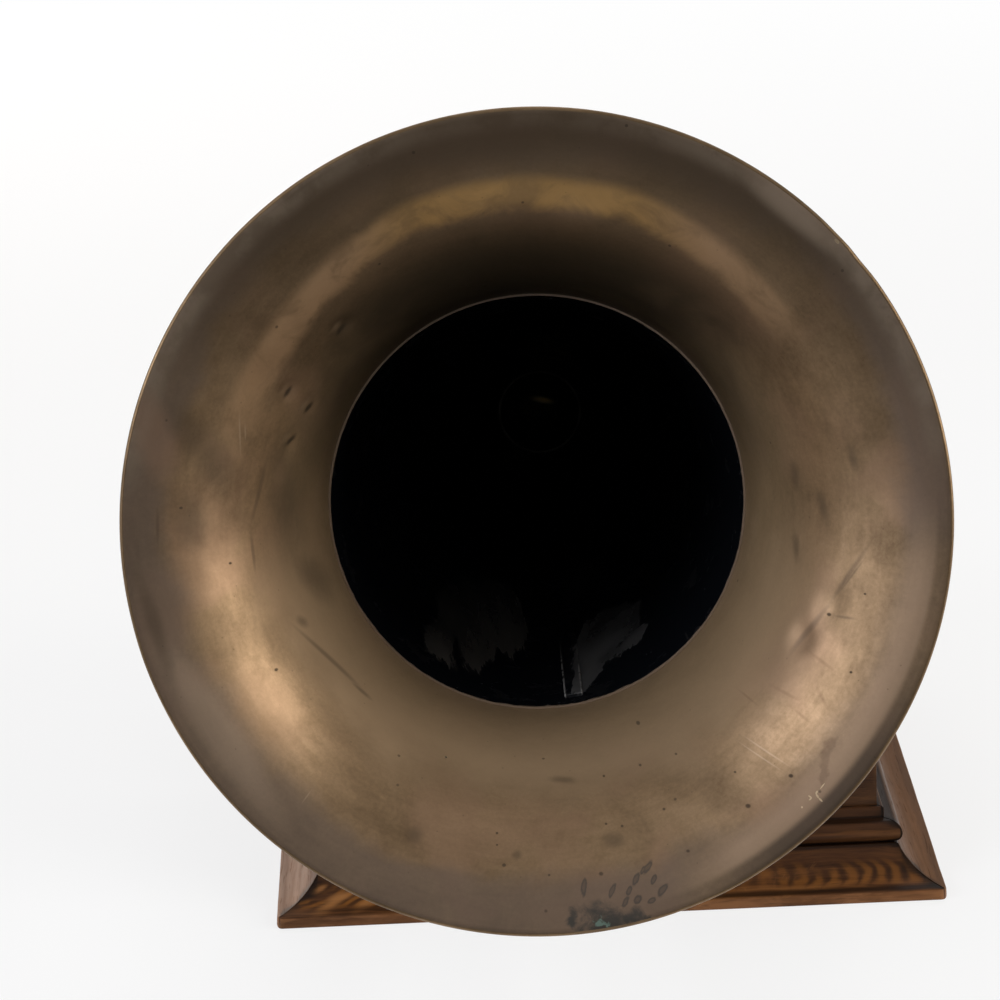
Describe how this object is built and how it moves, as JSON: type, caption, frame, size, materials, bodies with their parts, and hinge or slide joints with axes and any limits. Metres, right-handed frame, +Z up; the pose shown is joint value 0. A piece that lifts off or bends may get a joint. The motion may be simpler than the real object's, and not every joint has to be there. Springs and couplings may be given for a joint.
{
  "type": "disc phonograph",
  "caption": "Front-mount disc phonograph: an oak cabinet with a spring motor and turntable, and a brass-belled horn on a bracket, carrying its soundbox and needle.",
  "frame": {"origin": "on the table under the middle of the cabinet, on the spindle's axis", "axes": "+Z up along the spindle, -Y towards the horn's mouth and the viewer, +X to the viewer's right"},
  "size_m": [0.4025, 0.8041, 0.4985],
  "materials": {
    "oak": "dark-stained oak under worn shellac",
    "pine": "bare softwood",
    "bell_brass": "aged satin brass with brown patina",
    "black_japan": "gloss black japan",
    "nickel": "worn nickel plate",
    "steel": "turned steel",
    "iron": "black enamelled cast iron",
    "brass": "satin brass",
    "felt": "green felt",
    "leather": "oiled leather",
    "rubber": "soft black rubber",
    "mica": "split mica sheet",
    "handle_wood": "polished dark wood"
  },
  "bodies": {
    "cabinet": {"base_moulding_front": "oak", "base_moulding_right": "oak", "base_moulding_back": "oak", "base_moulding_left": "oak", "case_front": "oak", "case_right": "oak", "case_back": "oak", "case_left": "oak", "bottom_board": "pine", "cornice": "oak", "top_board": "oak", "horn_bracket": "nickel", "bracket_screws": "nickel", "crank_bush": "nickel", "motor_bedplate": "iron", "motor_lower_plate": "iron", "motor_pillars": "steel", "motor_bolts": "steel", "one_way_clutch": "steel", "speed_plate": "nickel", "brake_pivot": "nickel"},
    "turntable": {"turntable": "iron", "turntable_felt": "felt", "spindle": "steel", "governor_wheel": "brass"},
    "layshaft": {"intermediate_shaft": "steel", "intermediate_wheel": "brass"},
    "barrel": {"spring_barrel": "steel", "barrel_cover": "steel", "mainspring": "steel"},
    "arbor": {"winding_arbor": "steel", "winding_wheel": "brass"},
    "crank": {"crank_shaft": "steel", "crank_rod": "nickel"},
    "handle": {"crank_handle": "handle_wood"},
    "governor": {"governor_shaft": "steel", "governor_springs": "brass", "governor_weights": "steel", "governor_disc": "brass"},
    "speed_control": {"speed_lever": "nickel", "speed_post": "steel", "friction_arm": "steel", "friction_pad": "leather"},
    "brake": {"brake_lever": "nickel", "brake_pad": "leather"},
    "yoke": {"horn_yoke": "nickel"},
    "horn": {"horn_bell": "bell_brass", "horn_body": "black_japan", "horn_clamp": "nickel", "clamp_screw": "nickel", "trunnion_screws": "nickel", "horn_ferrule": "brass", "elbow": "brass", "soundbox_case": "nickel", "soundbox_gaskets": "rubber", "diaphragm": "mica", "soundbox_ring": "nickel", "stylus_bar": "nickel", "needle": "steel"},
    "needle_screw": {"needle_screw": "nickel"}
  },
  "joints": [
    {"name": "turntable_spin", "type": "hinge", "parent": "cabinet", "child": "turntable", "pos_m": [0, 0, 0.18], "axis": [0, 0, 1], "continuous": true},
    {"name": "layshaft_spin", "type": "hinge", "parent": "cabinet", "child": "layshaft", "pos_m": [-0.0233, -0.02938, 0.09], "axis": [0, 0, 1], "continuous": true},
    {"name": "barrel_spin", "type": "hinge", "parent": "cabinet", "child": "barrel", "pos_m": [-0.058, 0.012, 0.075], "axis": [0, 0, 1], "continuous": true},
    {"name": "governor_spin", "type": "hinge", "parent": "cabinet", "child": "governor", "pos_m": [0.0275, 0, 0.119], "axis": [0, 1, 0], "continuous": true},
    {"name": "crank_turn", "type": "hinge", "parent": "cabinet", "child": "crank", "pos_m": [-0.134, 0.012, 0.109], "axis": [-1, 0, 0], "continuous": true},
    {"name": "arbor_turn", "type": "hinge", "parent": "cabinet", "child": "arbor", "pos_m": [-0.058, 0.012, 0.1], "axis": [0, 0, 1], "continuous": true},
    {"name": "handle_spin", "type": "hinge", "parent": "crank", "child": "handle", "pos_m": [-0.2, 0.097, 0.109], "axis": [-1, 0, 0], "continuous": true},
    {"name": "speed_turn", "type": "hinge", "parent": "cabinet", "child": "speed_control", "pos_m": [0.1, 0.1, 0.16], "axis": [0, 0, 1], "range_deg": [-4, 0]},
    {"name": "brake_swing", "type": "hinge", "parent": "cabinet", "child": "brake", "pos_m": [0.11893, -0.0864, 0.163], "axis": [0, 0, 1], "range_deg": [0, 14]},
    {"name": "horn_swing", "type": "hinge", "parent": "cabinet", "child": "yoke", "pos_m": [-0.0341, -0.377, 0.30098], "axis": [0, 0, 1], "range_deg": [-5.5, 9]},
    {"name": "horn_lift", "type": "hinge", "parent": "yoke", "child": "horn", "pos_m": [-0.0341, -0.377, 0.30098], "axis": [0.9995, -0.0305, 0], "range_deg": [0, 10]},
    {"name": "needle_screw_turn", "type": "hinge", "parent": "horn", "child": "needle_screw", "pos_m": [-0.0811, 0.00024, 0.18595], "axis": [-0.9995, 0.0305, 0], "continuous": true}
  ],
  "couplings": [
    {"joint": "layshaft_spin", "follows": "turntable_spin", "ratio": -0.25},
    {"joint": "barrel_spin", "follows": "turntable_spin", "ratio": 0.05},
    {"joint": "governor_spin", "follows": "turntable_spin", "ratio": -15},
    {"joint": "arbor_turn", "follows": "crank_turn", "ratio": 0.5}
  ]
}
